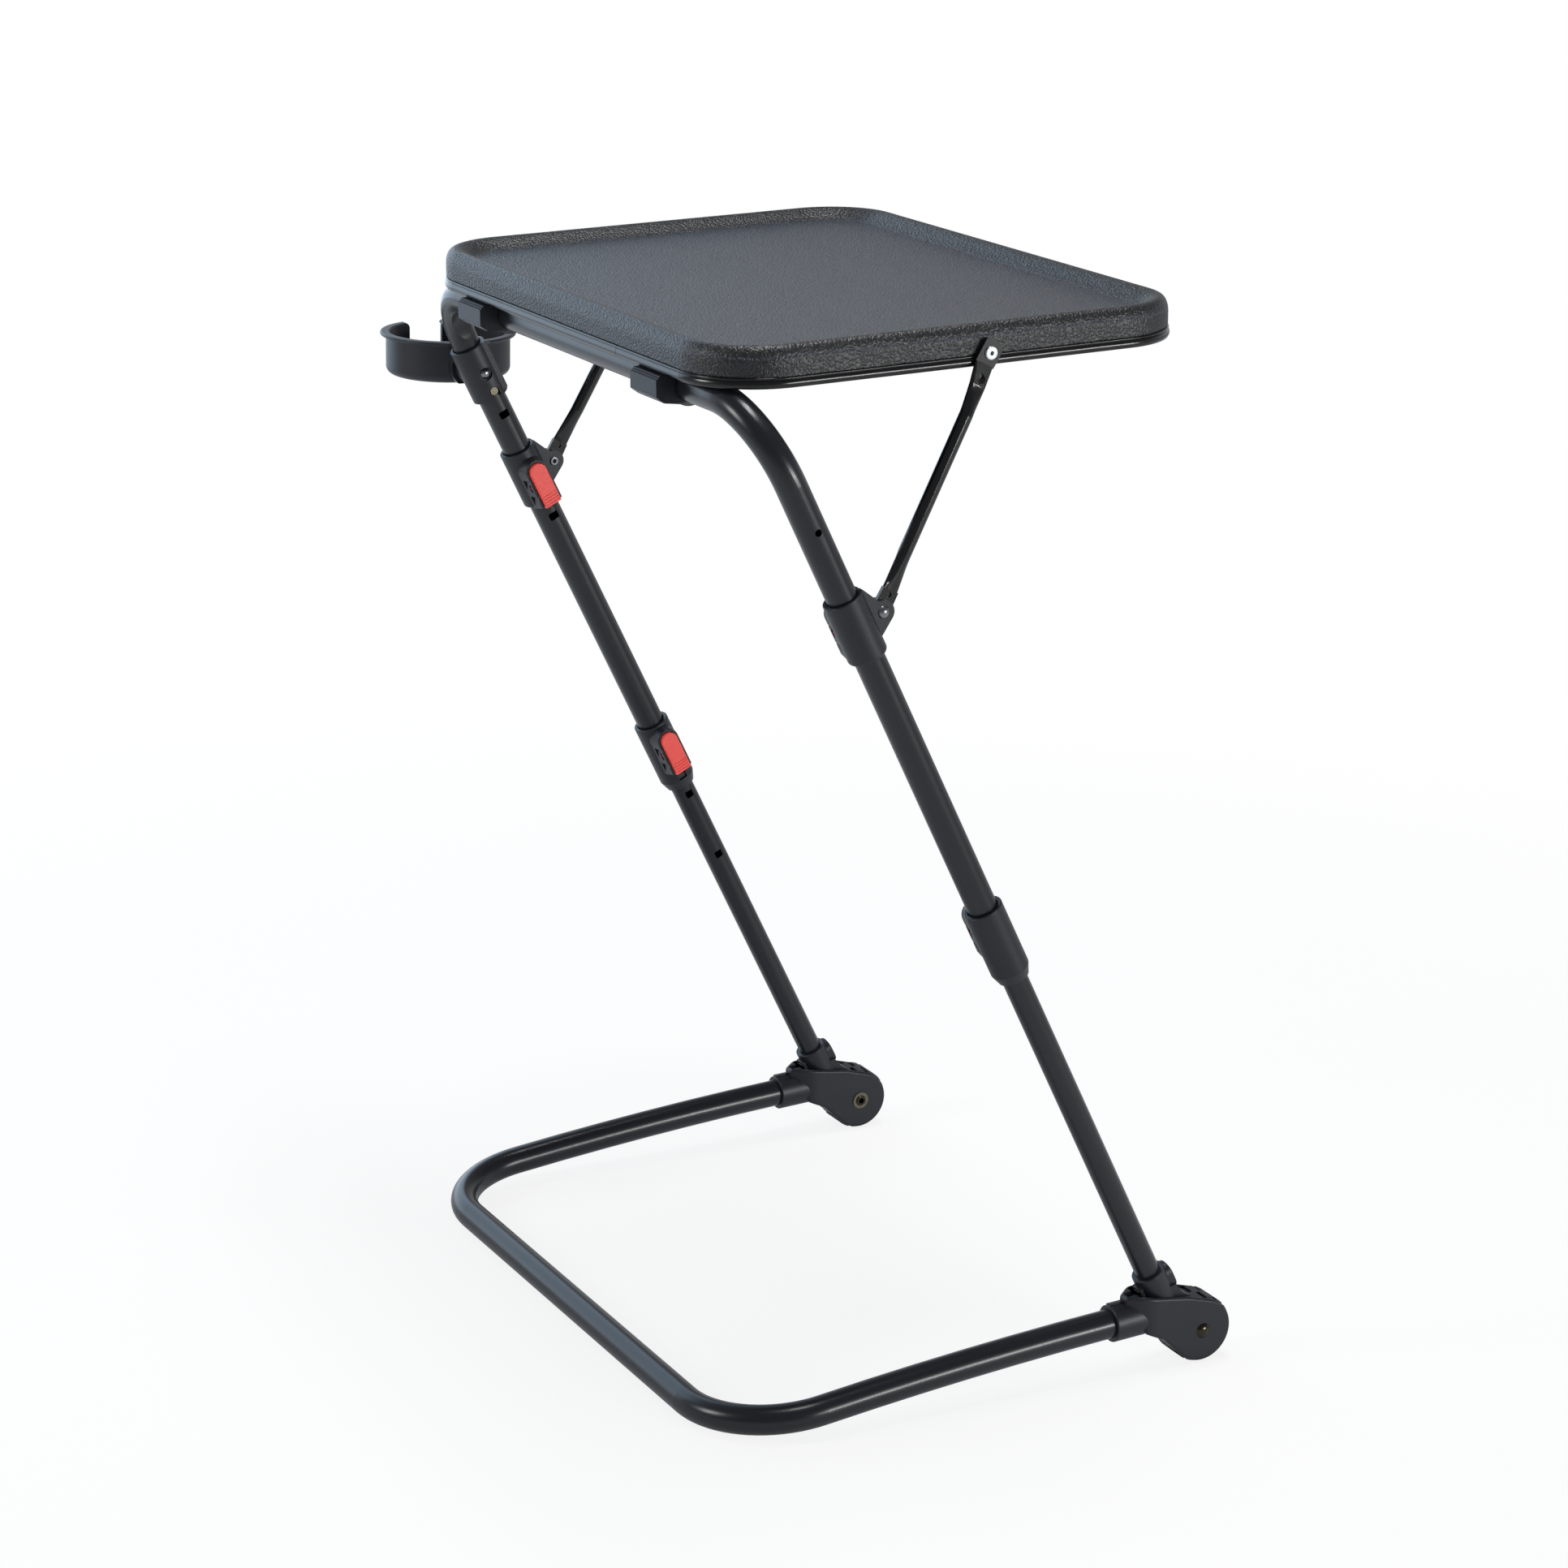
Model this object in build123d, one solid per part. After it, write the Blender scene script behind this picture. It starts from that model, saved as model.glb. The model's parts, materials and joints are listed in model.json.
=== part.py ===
from build123d import *
import math
import os

# A folding tray table: floor base, feet with wheels, telescoping legs, tilting tray, cup holder.
# Millimetres. X runs across the table, -Y is the front, Z is up and the floor is Z = 0.
# Left is the side with the cup holder, at -X. The right side is the left one mirrored, but both feet
# are the same moulding.

# Tubes
TUBE_R = 11.1            # base and upper frame, a 7/8 inch tube
TUBE_WALL = 1.2
LOWER_R = 9.5            # lower legs, a 3/4 inch tube that slides in the upper one
LOWER_WALL = 1.2
STRUT_R = 5.0

# Stance
LEG_X = 264.6            # the legs' centre lines from the middle of the table
LEG_FOOT_Y = 214.3       # where a leg's centre line meets the floor
LEG_ANGLE = 63.1         # the legs' lean above the floor, in degrees
CENTRE_X = -50.3         # the middle of the whole part, where its origin is put
CENTRE_Y = 23.9

# Base and feet
BASE_FRONT_Y = -174.1
BASE_BEND_R = 73.3
RAIL_RISE = 6.64         # the rails' slope where they leave the corners, in degrees
RAIL_TURN_Y = 140.0      # from here to its end in the foot a rail is straight
RAIL_TURN_Z = 39.5
RAIL_END_Y = 157.0
SLEEVE_R = 14.2
SEAM_RISE = 1.2          # the raised seam on top of the sleeve
SLEEVE_MOUTH_Y = 143.0
FOOT_HALF = 15.6
FOOT_WALL = 2.6
AXLE_Y = 218.3
AXLE_Z = 25.7
AXLE_R = 4.0
CHEEK_R = 24.7
WHEEL_R = 25.7
WHEEL_HALF = 12.2
WHEEL_KNOBS = 16
PIVOT_Y = 161.0          # the hidden pin on which a leg folds
PIVOT_Z = 53.5
PIVOT_R = 1.8
PIN_HALF = 7.6
HINGE_EAR_R = 3.6
HINGE_EAR_HALF = 3.4
NOSE_Y = 154.5           # the rounded front of the foot, above the sleeve
NOSE_Z = 59.8
CREST_Y = 167.0          # the highest point of the foot's top line
CREST_Z = 61.0
SHOULDER_Y = 206.0
SHOULDER_Z = 55.0
NECK_Y = 184.0
NECK_LOW_Z = 24.0
NOSE_BACK_N = -17.2      # the nose ends here, in front of the leg's centre line
BOW_Y = 168.7            # from here to the front the foot narrows above the sleeve
BOW_TIP_Y = 155.0
BOW_TIP_HALF = 4.5
BOW_ROUND = 25.0

# Legs, measured along a leg from the floor
SOCKET_R = 12.8
SOCKET_LOW = 48.0
SOCKET_TOP = 85.5
LUG_N = 15.4             # the rear lug that holds the bolt's head
LUG_HEIGHT = 23.0
LUG_WIDTH = 17.0
LUG_WALL = 2.4
HEAD_SEAT_N = 12.8
LOWER_END = 52.0
LOWER_TOP = 505.0
LEG_BOLT_S = 73.0
HEIGHT_HOLE_S = 423.6    # the height hole in use
HEIGHT_PITCH = 62.5
UPPER_END = 380.0
CROSSBAR_S = 849.9
UPPER_BEND_R = 58.0
TILT_HOLE_S = 686.2      # the tilt hole in use
TILT_PITCH = 47.8
LOWER_HOLE = (6.5, 6.2)  # adjusting holes, across the leg and along it
UPPER_HOLE = (8.2, 6.2)
BEND_DENT = 5.0          # the bender's mark on the inside of the upper bends
BEND_DENT_R = 30.0

# Lever collars
COLLAR_R = 14.5
COLLAR_FIT = 0.05
MOUTH_GAP = 0.7          # each collar's mouth opens round the tube
MOUTH_DEPTH = 4.0
TILT_LOW = 652.0
TILT_TOP = 700.0
HEIGHT_LOW = 370.0
HEIGHT_TOP = 432.5
HOUSING_X = 22.5         # the housing's face from the tube's centre line
HOUSING_FOOT_X = 4.0
HOUSING_HALF = 11.9      # at the housing's foot; its sides lean in towards the face
HOUSING_LEAN = 8.0
GILLS = (7.2, -7.8)      # the lips on the housing's sides, from the lever's barrel
POCKET_X = 15.5
POCKET_HALF = 7.5
LEVER_FACE_X = 25.5
LEVER_BACK_X = 20.5
LEVER_HALF = 7.1
LEVER_REACH = 18.5       # from the lever's barrel to either end
LEVER_PEG = 14.8         # from the barrel to the locking peg
BARREL_X = 18.5
BARREL_R = 3.2
TRUNNION_R = 1.3
TRUNNION_END = 9.2
EAR_S = 675.8            # the strut's pivot in the clevis, up the leg and behind it
EAR_N = 21.5
EAR_R = 8.4
EAR_GAP = 1.8
EAR_X = 5.5

# Tray, in a frame that starts at the middle of its front lower edge
TRAY_FRONT_Y = -191.3
TRAY_LOW_Z = 766.7
TRAY_TILT = 1.72         # the rear stands higher, in degrees
TRAY_WIDTH = 495.2
TRAY_LENGTH = 384.7
TRAY_HEIGHT = 28.7
TRAY_CORNER_R = 58.8
CREST_IN = 8.6
RIM_IN = 28.0
FLOOR_Z = 20.7
SHELL = 2.8
TRIM_Z = 7.5
TRIM_PROUD = 1.2
STRUT_TRAY_Y = 209.3     # the strut's upper pivot in the tray's frame
STRUT_TRAY_Z = 8.9
STRUT_PLATE_X = 15.2     # the upper plate, inwards from the leg's centre line
STRUT_PLATE_HALF = 1.5
TRAY_RIVET_R = 5.0
SCREW_Y = 41.0
CLIP_FLANGE_Z = 12.0
CLIP_X = 146.0
CLIP_HALF = 20.0
SEAM_X = 93.0

# Cup holder
CUP_X = -332.0
CUP_Y = -131.5
CUP_R = 49.3
CUP_LOW_Z = 675.0
CUP_RIM_Z = 708.5
CUP_WALL = 3.0
CUP_LIP = 4.6
CUP_GAP = 28.0
CUP_SWIVEL_S = 772.0
CUP_PIN_S = 756.0
CUP_COLLAR_LOW = 750.0
CUP_COLLAR_TOP = 795.0
SWIVEL_R = 16.0
SWIVEL_FACE_X = -14.9
CUP_RIVET_SEAT = -18.5

LEAN = math.radians(LEG_ANGLE)
MIN = Align.MIN
MID = Align.CENTER

# A leg's frame: x inwards from the left leg, y to the rear of the leg, z up along it
FRAME = Plane(origin=(0, LEG_FOOT_Y, 0), x_dir=(1, 0, 0), z_dir=(0, -math.cos(LEAN), math.sin(LEAN)))
ON_LEG = FRAME.location * Pos(-LEG_X, 0, 0)
ON_FOOT = Pos(-LEG_X, 0, 0)
ON_TRAY = Pos(0, TRAY_FRONT_Y, TRAY_LOW_Z) * Rot(TRAY_TILT, 0, 0)


def rod(radius, start, end):
    """A round bar between two points."""
    line = Vector(*end) - Vector(*start)
    place = Plane(origin=start, z_dir=line).location
    return place * Cylinder(radius, line.length, align=(MID, MID, MIN))


def block(x, y, z):
    """A box between a low and a high value on each axis."""
    return Pos(x[0], y[0], z[0]) * Box(x[1] - x[0], y[1] - y[0], z[1] - z[0], align=(MIN, MIN, MIN))


def plate(outline, x):
    """An outline drawn in the side view, as thick as the given stretch of x."""
    return extrude(Plane.YZ.offset(x[0]) * outline, amount=x[1] - x[0])


def tube_along(path, radius, wall):
    """A round tube that follows a path."""
    start = Plane(origin=path @ 0, z_dir=path % 0)
    return sweep(start * (Circle(radius) - Circle(radius - wall)), path=path)


def dome(radius, height):
    """A rivet's head that stands on z = 0."""
    ball = (radius**2 + height**2) / (2 * height)
    return Pos(0, 0, height - ball) * Sphere(ball) & block((-radius, radius), (-radius, radius), (0, height))


def peg_hole(across, along, s, x):
    """The cutter for an oblong hole with rounded corners through a wall that faces x."""
    return plate(Pos(0, s) * RectangleRounded(across, along, 0.2 * along), x)


def leg_place(y, z):
    """A point of the side view as its place behind a leg and its place along the leg."""
    back = y - LEG_FOOT_Y
    behind = back * math.sin(LEAN) + z * math.cos(LEAN)
    along = z * math.sin(LEAN) - back * math.cos(LEAN)
    return behind, along


def leg_point(behind, along):
    """The other way round: a place behind a leg and along it as a point of the side view."""
    y = LEG_FOOT_Y + behind * math.sin(LEAN) - along * math.cos(LEAN)
    return y, behind * math.cos(LEAN) + along * math.sin(LEAN)


def rounded_polygon(corners):
    """A polygon from (point, radius) pairs, with those corners rounded whose radius isn't 0."""
    shape = Polygon(*[point for point, radius in corners], align=None)
    for point, radius in corners:
        if radius:
            shape = fillet(shape.vertices().sort_by_distance(point).first, radius)
    return shape


def touch_point(point, centre, radius, side):
    """Where a line from a point touches a circle; side 1 is to the left of the line of sight."""
    across, up = centre[0] - point[0], centre[1] - point[1]
    far = math.hypot(across, up)
    turn = math.atan2(up, across) + side * math.asin(radius / far)
    reach = math.sqrt(far**2 - radius**2)
    return point[0] + reach * math.cos(turn), point[1] + reach * math.sin(turn)


# Base: one tube bent into a U, its rails rising to the feet in a flat arc
RISE = math.radians(RAIL_RISE)
RAIL_START_Y = BASE_FRONT_Y + BASE_BEND_R * math.cos(RISE)
RAIL_START_Z = TUBE_R + BASE_BEND_R * math.sin(RISE)
END_SLOPE = 2 * math.atan2(RAIL_TURN_Z - RAIL_START_Z, RAIL_TURN_Y - RAIL_START_Y) - RISE


def rail_point(y):
    """The centre line of a rail's straight end, in a foot's own frame."""
    return (0, y, RAIL_TURN_Z + (y - RAIL_TURN_Y) * math.tan(END_SLOPE))


def base_tube():
    corner = Vector(LEG_X - BASE_BEND_R, BASE_FRONT_Y, TUBE_R)
    rail_start = Vector(LEG_X, RAIL_START_Y, RAIL_START_Z)
    rail_turn = Vector(LEG_X, RAIL_TURN_Y, RAIL_TURN_Z)
    rail_end = Vector(LEG_X, 0, 0) + Vector(*rail_point(RAIL_END_Y))
    bend = Edge.make_tangent_arc(corner, Vector(1, 0, 0), rail_start)
    rail = Edge.make_tangent_arc(rail_start, Vector(0, math.cos(RISE), math.sin(RISE)), rail_turn)
    stub = Edge.make_line(rail_turn, rail_end)
    bar = Edge.make_line(Vector(-corner.X, corner.Y, corner.Z), corner)
    right = [bend, rail, stub]
    left = [edge.mirror(Plane.YZ) for edge in reversed(right)]
    return tube_along(Wire(left + [bar] + right), TUBE_R, TUBE_WALL)


# Feet: two half-shells round the rail's end, with cheeks for the wheel and a nose over the leg's pivot
def bow(inset):
    """The foot's plan, which narrows towards the front, drawn in by an inset and extruded upwards."""
    half = FOOT_HALF - inset
    lean = math.atan2(FOOT_HALF - BOW_TIP_HALF, BOW_Y - BOW_TIP_Y)
    tip = BOW_TIP_HALF - inset / math.cos(lean)
    shoulder = (half, BOW_TIP_Y + (half - tip) / math.tan(lean))
    stem = (0.5, BOW_TIP_Y + (0.5 - tip) / math.tan(lean))
    right = [stem, shoulder, (half, 260)]
    left = [(-x, y) for x, y in reversed(right)]
    plan = Polygon(*right, *left, align=None)
    for side in (-1, 1):
        corner = plan.vertices().sort_by_distance((side * shoulder[0], shoulder[1])).first
        plan = fillet(corner, BOW_ROUND - inset)
    return Pos(0, 0, -20) * extrude(plan, amount=140, dir=(0, 0, 1))


def foot_cheeks():
    axle_at = (AXLE_Y, AXLE_Z)
    under = touch_point((NECK_Y, NECK_LOW_Z), axle_at, CHEEK_R, -1)
    over = touch_point((SHOULDER_Y, SHOULDER_Z), axle_at, CHEEK_R, 1)
    outline = rounded_polygon([((168.5, 31), 2.5), ((NECK_Y, NECK_LOW_Z), 14), (under, 0), (axle_at, 0), (over, 0),
                               ((SHOULDER_Y, SHOULDER_Z), 20), ((CREST_Y, CREST_Z), 6), ((NOSE_Y, NOSE_Z), 3),
                               ((NOSE_Y, NOSE_Z - 15), 0), ((167, 40), 0)])
    outline += Pos(*axle_at) * Circle(CHEEK_R)
    cheeks = plate(outline, (-FOOT_HALF, FOOT_HALF)) & bow(0)
    sides = cheeks.faces().filter_by(lambda face: abs(face.normal_at().X) > 0.5)
    rim = sides.edges() & (cheeks.faces() - sides).edges()
    rim = rim.filter_by(lambda edge: edge.center().Y > 172 or (edge.center().Z > 45 and edge.center().Y > 157))
    return fillet(rim, 2.4)


def foot_shells():
    sleeve = rod(SLEEVE_R, rail_point(SLEEVE_MOUTH_Y), rail_point(178))
    mouth = sleeve.faces().sort_by(Axis.Y).first
    sleeve = fillet(mouth.edges(), 1.0)
    seam = rod(SLEEVE_R + SEAM_RISE, rail_point(SLEEVE_MOUTH_Y + 1), rail_point(160))
    seam = seam & block((-5.0, 0), (130, 165), (45, 80))
    shells = foot_cheeks() + sleeve + seam

    inside = FOOT_HALF - FOOT_WALL
    nose_back = [leg_point(NOSE_BACK_N, 100), leg_point(NOSE_BACK_N, 61)]
    opening = Polygon(*nose_back, (175, 34), (250, 34), (250, 80), align=None)
    shells -= plate(opening, (-inside, inside)) & bow(FOOT_WALL)
    ear_space = rounded_polygon([((156.9, 48.8), 3.6), ((170, 43), 0), ((190, 38), 0), ((190, 75), 0),
                                 ((156.9, 75), 0)])
    shells -= plate(ear_space, (-HINGE_EAR_HALF - 0.3, HINGE_EAR_HALF + 0.3))
    shells -= rod(WHEEL_R + 1.6, (-inside, AXLE_Y, AXLE_Z), (inside, AXLE_Y, AXLE_Z))
    shells -= rod(TUBE_R + 0.02, rail_point(SLEEVE_MOUTH_Y - 5), rail_point(RAIL_END_Y + 0.5))
    shells -= rod(AXLE_R + 0.02, (-20, AXLE_Y, AXLE_Z), (20, AXLE_Y, AXLE_Z))
    shells -= rod(PIVOT_R + 0.02, (-PIN_HALF - 0.1, PIVOT_Y, PIVOT_Z), (PIN_HALF + 0.1, PIVOT_Y, PIVOT_Z))
    outer = shells & block((-30, 0), (100, 300), (-10, 100))
    inner = shells & block((0, 30), (100, 300), (-10, 100))
    return outer, inner


def wheel():
    tyre = rod(WHEEL_R, (-WHEEL_HALF, AXLE_Y, AXLE_Z), (WHEEL_HALF, AXLE_Y, AXLE_Z))
    tyre = fillet(tyre.edges(), 1.2)
    tyre -= rod(AXLE_R + 0.06, (-20, AXLE_Y, AXLE_Z), (20, AXLE_Y, AXLE_Z))
    hub = Pos(0, AXLE_Y, AXLE_Z)
    pitch = 360 / WHEEL_KNOBS
    grooves = []
    for knob in range(WHEEL_KNOBS):
        for row in (-1, 1):
            turn = Rot((knob + 0.25 * row) * pitch, 0, 0)
            grooves.append(hub * turn * Pos(row * 7.4, 0, WHEEL_R) * Box(13, 3.6, 4.4))
    return tyre - grooves


def axle():
    shank = rod(AXLE_R, (-FOOT_HALF, AXLE_Y, AXLE_Z), (FOOT_HALF + 0.9, AXLE_Y, AXLE_Z))
    head = Pos(-FOOT_HALF, AXLE_Y, AXLE_Z) * Rot(0, -90, 0) * dome(6.0, 2.8)
    rolled = rod(4.6, (FOOT_HALF + 0.9, AXLE_Y, AXLE_Z), (FOOT_HALF + 2.1, AXLE_Y, AXLE_Z))
    rolled = fillet(rolled.edges().sort_by(Axis.X).last, 1.0)
    hollow = rod(2.4, (FOOT_HALF - 6, AXLE_Y, AXLE_Z), (FOOT_HALF + 5, AXLE_Y, AXLE_Z))
    return shank + head + rolled - hollow


def axle_washer():
    washer = rod(7.2, (FOOT_HALF, AXLE_Y, AXLE_Z), (FOOT_HALF + 0.9, AXLE_Y, AXLE_Z))
    return washer - rod(AXLE_R + 0.02, (0, AXLE_Y, AXLE_Z), (30, AXLE_Y, AXLE_Z))


def leg_pivot_pin():
    return rod(PIVOT_R, (-PIN_HALF, PIVOT_Y, PIVOT_Z), (PIN_HALF, PIVOT_Y, PIVOT_Z))


# Lower legs: socket in the foot, tube, guide plug, bolt and nut
def leg_socket():
    pivot = leg_place(PIVOT_Y, PIVOT_Z)
    axle_place = leg_place(AXLE_Y, AXLE_Z)
    socket = rod(SOCKET_R, (0, 0, SOCKET_LOW), (0, 0, SOCKET_TOP))
    socket = fillet(socket.edges().group_by(Axis.Z)[-1], 0.8)
    heel = Polygon((0, SOCKET_LOW), (9, SOCKET_LOW), (19.5, 50.5), (15, 58), (12.2, 68), (0, 70), align=None)
    heel = fillet(heel.vertices().sort_by_distance((15, 58)).first, 12)
    socket += plate(heel, (-10.5, 10.5))
    socket += lug(LUG_WIDTH, LUG_HEIGHT, 4, LUG_N, 1.4)
    socket += block((-5.6, 5.6), (-14.2, 0), (LEG_BOLT_S - 6, LEG_BOLT_S + 6))
    ear = make_hull((Pos(*pivot) * Circle(HINGE_EAR_R)).edges() + Polyline((-4, 53), (-4, 68)).edges())
    socket += plate(ear, (-HINGE_EAR_HALF, HINGE_EAR_HALF))
    socket -= rod(LOWER_R + 0.02, (0, 0, LOWER_END), (0, 0, SOCKET_TOP + 5))
    socket -= lug(LUG_WIDTH - 2 * LUG_WALL, LUG_HEIGHT - 2 * LUG_WALL, HEAD_SEAT_N, 20, 0)
    socket -= rod(2.1, (0, -20, LEG_BOLT_S), (0, 20, LEG_BOLT_S))
    socket -= block((-4.1, 4.1), (-16, -12.6), (LEG_BOLT_S - 4.1, LEG_BOLT_S + 4.1))
    socket -= rod(PIVOT_R + 0.06, (-20, *pivot), (20, *pivot))
    socket -= rod(WHEEL_R + 0.6, (-20, *axle_place), (20, *axle_place))
    return socket


def lug(width, height, start, end, round_edge):
    """An upright oval on the leg's rear side, between two distances behind its centre line."""
    shape = Plane.XZ * Pos(0, LEG_BOLT_S) * SlotOverall(height, width, rotation=90)
    solid = Pos(0, end, 0) * extrude(shape, amount=end - start)
    if round_edge:
        solid = fillet(solid.faces().sort_by(Axis.Y).last.edges(), round_edge)
    return solid


def lower_leg():
    leg = rod(LOWER_R, (0, 0, LOWER_END), (0, 0, LOWER_TOP))
    leg -= rod(LOWER_R - LOWER_WALL, (0, 0, LOWER_END - 1), (0, 0, LOWER_TOP + 1))
    for step in (-2, -1, 0, 1):
        leg -= peg_hole(*LOWER_HOLE, HEIGHT_HOLE_S + step * HEIGHT_PITCH, (2, 15))
    return leg - rod(2.1, (0, -20, LEG_BOLT_S), (0, 20, LEG_BOLT_S))


def leg_guide():
    stem = rod(LOWER_R - LOWER_WALL - 0.02, (0, 0, LOWER_TOP - 14), (0, 0, LOWER_TOP))
    cap = rod(TUBE_R - TUBE_WALL - 0.06, (0, 0, LOWER_TOP), (0, 0, LOWER_TOP + 5))
    cap = fillet(cap.edges().sort_by(Axis.Z).last, 1.0)
    return stem + cap - rod(5, (0, 0, LOWER_TOP - 20), (0, 0, LOWER_TOP + 10))


def leg_bolt():
    bolt = rod(2.0, (0, -14.0, LEG_BOLT_S), (0, HEAD_SEAT_N, LEG_BOLT_S))
    head = rod(4.4, (0, HEAD_SEAT_N, LEG_BOLT_S), (0, HEAD_SEAT_N + 2.3, LEG_BOLT_S))
    head = fillet(head.edges().sort_by(Axis.Y).last, 0.8)
    recess = (HEAD_SEAT_N + 1.2, HEAD_SEAT_N + 3)
    cross = block((-0.6, 0.6), recess, (LEG_BOLT_S - 2.6, LEG_BOLT_S + 2.6))
    cross += block((-2.6, 2.6), recess, (LEG_BOLT_S - 0.6, LEG_BOLT_S + 0.6))
    return bolt + head - cross


def leg_nut():
    nut = block((-3.8, 3.8), (-14.6, -12.6), (LEG_BOLT_S - 3.8, LEG_BOLT_S + 3.8))
    nut = chamfer(nut.faces().sort_by(Axis.Y).first.edges(), 0.4)
    return nut - rod(2.02, (0, -20, LEG_BOLT_S), (0, 0, LEG_BOLT_S))


# Upper frame: one tube bent into an inverted U in the plane of the legs
def upper_frame_tube():
    foot = Vector(LEG_X, 0, UPPER_END)
    bend_start = Vector(LEG_X, 0, CROSSBAR_S - UPPER_BEND_R)
    bend_end = Vector(LEG_X - UPPER_BEND_R, 0, CROSSBAR_S)
    leg = Edge.make_line(foot, bend_start)
    bend = Edge.make_tangent_arc(bend_start, Vector(0, 0, 1), bend_end)
    bar = Edge.make_line(bend_end, Vector(-bend_end.X, 0, CROSSBAR_S))
    path = Wire([leg, bend, bar, bend.mirror(Plane.YZ), leg.mirror(Plane.YZ)])
    start = Plane(origin=path @ 0, z_dir=path % 0)
    frame = sweep(start * Circle(TUBE_R), path=path)
    bore = sweep(start * Circle(TUBE_R - TUBE_WALL), path=path)
    reach = (UPPER_BEND_R - TUBE_R + BEND_DENT - BEND_DENT_R) * math.sqrt(0.5)
    for side in (-1, 1):
        dent = Pos(side * (LEG_X - UPPER_BEND_R + reach), 0, CROSSBAR_S - UPPER_BEND_R + reach)
        frame -= dent * Sphere(BEND_DENT_R)
        bore -= dent * Sphere(BEND_DENT_R + TUBE_WALL)
    frame -= bore
    holes = [peg_hole(*UPPER_HOLE, HEIGHT_HOLE_S, (4, 15))]
    holes += [peg_hole(*UPPER_HOLE, TILT_HOLE_S + step * TILT_PITCH, (4, 15)) for step in (-1, 0, 1)]
    for hole in holes:
        left = Pos(-LEG_X, 0, 0) * hole
        frame -= left
        frame -= mirror(left, about=Plane.YZ)
    frame -= rod(2.6, (-LEG_X, 0, CUP_PIN_S), (-LEG_X + 20, 0, CUP_PIN_S))
    frame -= rod(2.6, (-LEG_X - 20, 0, CUP_SWIVEL_S), (-LEG_X + 20, 0, CUP_SWIVEL_S))
    frame -= rod(2.6, (LEG_X, 0, CUP_PIN_S), (LEG_X + 20, 0, CUP_PIN_S))
    return frame


# Lever collars: a sleeve with an arched housing for a rocking lever
def lever_outline(half, top, low, barrel_s):
    """An upright shape with a round top, drawn in the side view."""
    height = top - half - low
    arch = Pos(0, barrel_s + top - half) * Circle(half)
    return arch + Pos(0, barrel_s + low + height / 2) * Rectangle(2 * half, height)


def add_housing(sleeve, barrel_s):
    """Adds the lever's housing, whose leaning sides step in under two lips."""
    foot = Plane.YZ.offset(HOUSING_FOOT_X) * lever_outline(HOUSING_HALF, 23.5, -20.5, barrel_s)
    housing = extrude(foot, amount=HOUSING_X - HOUSING_FOOT_X, taper=HOUSING_LEAN)
    housing = fillet(housing.faces().sort_by(Axis.X).last.edges(), 0.9)
    for side in (-1, 1):
        for gill in GILLS:
            lip = barrel_s + gill
            step = Polygon((side * 8.6, lip), (side * 16, lip), (side * 16, lip - 12), (side * 11.4, lip - 12),
                           align=None)
            housing -= plate(step, (12, 30))
    return sleeve + housing


def cut_pocket(collar, barrel_s):
    collar -= plate(lever_outline(POCKET_HALF, 19.0, -26.0, barrel_s), (POCKET_X, 40))
    collar -= rod(BARREL_R + 0.05, (BARREL_X, -POCKET_HALF, barrel_s), (BARREL_X, POCKET_HALF, barrel_s))
    window = SlotOverall(7.0, 2.8, rotation=90)
    collar -= Pos(BARREL_X, 0, barrel_s) * Rot(90, 0, 0) * extrude(window, amount=15, both=True)
    return collar - peg_hole(7.6, 7.6, barrel_s + LEVER_PEG, (5, 30))


def lever(barrel_s):
    outline = lever_outline(LEVER_HALF, LEVER_REACH, -LEVER_REACH, barrel_s)
    body = plate(outline, (LEVER_BACK_X, LEVER_FACE_X))
    body = fillet(body.faces().sort_by(Axis.X).last.edges(), 0.9)
    for rib in range(4):
        groove_s = barrel_s - LEVER_REACH + 2.6 + 2.4 * rib
        groove = Pos(LEVER_FACE_X, 0, groove_s) * Box(1.0, 2 * LEVER_HALF - 2.4, 1.0)
        body -= groove
    barrel = rod(BARREL_R, (BARREL_X, 0.3 - POCKET_HALF, barrel_s), (BARREL_X, POCKET_HALF - 0.3, barrel_s))
    trunnion = rod(TRUNNION_R, (BARREL_X, -TRUNNION_END, barrel_s), (BARREL_X, TRUNNION_END, barrel_s))
    peg = peg_hole(4.8, 4.8, barrel_s + LEVER_PEG, (TUBE_R + 0.3, LEVER_BACK_X + 1))
    return body + barrel + trunnion + peg


def lever_spring(barrel_s):
    """A coil under the lever's ribbed end, drawn at the length that it has when pressed."""
    wire = 0.4
    coil = Helix(pitch=0.9, height=1.8, radius=2.1)
    start = Plane(origin=coil @ 0, z_dir=coil % 0)
    spring = sweep(start * Circle(wire), path=coil)
    return Pos(LEVER_BACK_X - wire, 0, barrel_s - 12.0) * Rot(0, -90, 0) * spring


HEIGHT_BARREL_S = HEIGHT_HOLE_S - LEVER_PEG
TILT_BARREL_S = TILT_HOLE_S - LEVER_PEG


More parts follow.
